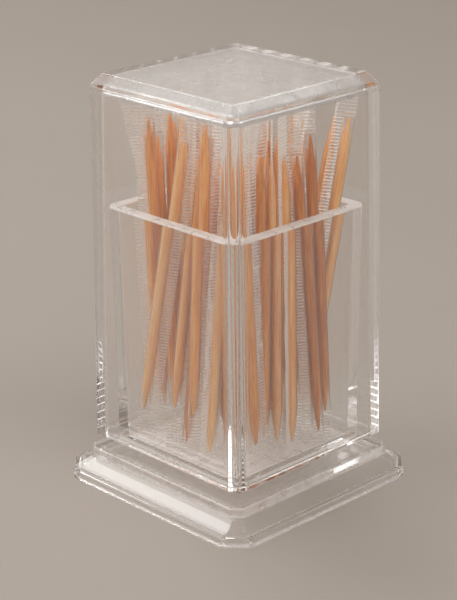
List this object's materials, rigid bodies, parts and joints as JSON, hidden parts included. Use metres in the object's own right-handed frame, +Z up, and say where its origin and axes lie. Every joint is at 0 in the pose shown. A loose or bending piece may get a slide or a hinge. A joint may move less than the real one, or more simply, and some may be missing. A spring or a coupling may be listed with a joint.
{
  "type": "toothpick dispenser",
  "caption": "Clear square table dispenser for wrapped toothpicks: chamfered base, open cup and a tall lift-off hood.",
  "frame": {"origin": "middle of the base's foot, on the surface it stands on", "axes": "+Z up, the way the hood lifts; the sides of the base, cup and hood face +X, -X, +Y and -Y"},
  "size_m": [0.058, 0.058, 0.094],
  "materials": {
    "clear_moulding": "clear polished moulding",
    "pick_wood": "turned, unvarnished",
    "wrapper_film": "clear film with a ribbed seam"
  },
  "bodies": {
    "stand": {"base": "clear_moulding", "cup": "clear_moulding", "pick_01": "pick_wood", "pick_02": "pick_wood", "pick_03": "pick_wood", "pick_04": "pick_wood", "pick_05": "pick_wood", "pick_06": "pick_wood", "pick_07": "pick_wood", "pick_08": "pick_wood", "pick_09": "pick_wood", "pick_10": "pick_wood", "pick_11": "pick_wood", "pick_12": "pick_wood", "pick_13": "pick_wood", "pick_14": "pick_wood", "pick_15": "pick_wood", "pick_16": "pick_wood", "pick_17": "pick_wood", "pick_18": "pick_wood", "pick_19": "pick_wood", "pick_20": "pick_wood", "pick_21": "pick_wood", "pick_22": "pick_wood", "pick_23": "pick_wood", "pick_24": "pick_wood", "pick_25": "pick_wood", "pick_26": "pick_wood", "pick_27": "pick_wood", "pick_28": "pick_wood", "wrapper_01": "wrapper_film", "wrapper_02": "wrapper_film", "wrapper_03": "wrapper_film", "wrapper_04": "wrapper_film", "wrapper_05": "wrapper_film", "wrapper_06": "wrapper_film", "wrapper_07": "wrapper_film", "wrapper_08": "wrapper_film", "wrapper_09": "wrapper_film", "wrapper_10": "wrapper_film", "wrapper_11": "wrapper_film", "wrapper_12": "wrapper_film", "wrapper_13": "wrapper_film", "wrapper_14": "wrapper_film", "wrapper_15": "wrapper_film", "wrapper_16": "wrapper_film", "wrapper_17": "wrapper_film", "wrapper_18": "wrapper_film", "wrapper_19": "wrapper_film", "wrapper_20": "wrapper_film", "wrapper_21": "wrapper_film", "wrapper_22": "wrapper_film", "wrapper_23": "wrapper_film", "wrapper_24": "wrapper_film", "wrapper_25": "wrapper_film", "wrapper_26": "wrapper_film", "wrapper_27": "wrapper_film", "wrapper_28": "wrapper_film"},
    "hood": {"hood": "clear_moulding"}
  },
  "joints": [
    {"name": "hood_lift", "type": "slide", "parent": "stand", "child": "hood", "axis": [0, 0, 1], "range_m": [0, 0.085]}
  ]
}
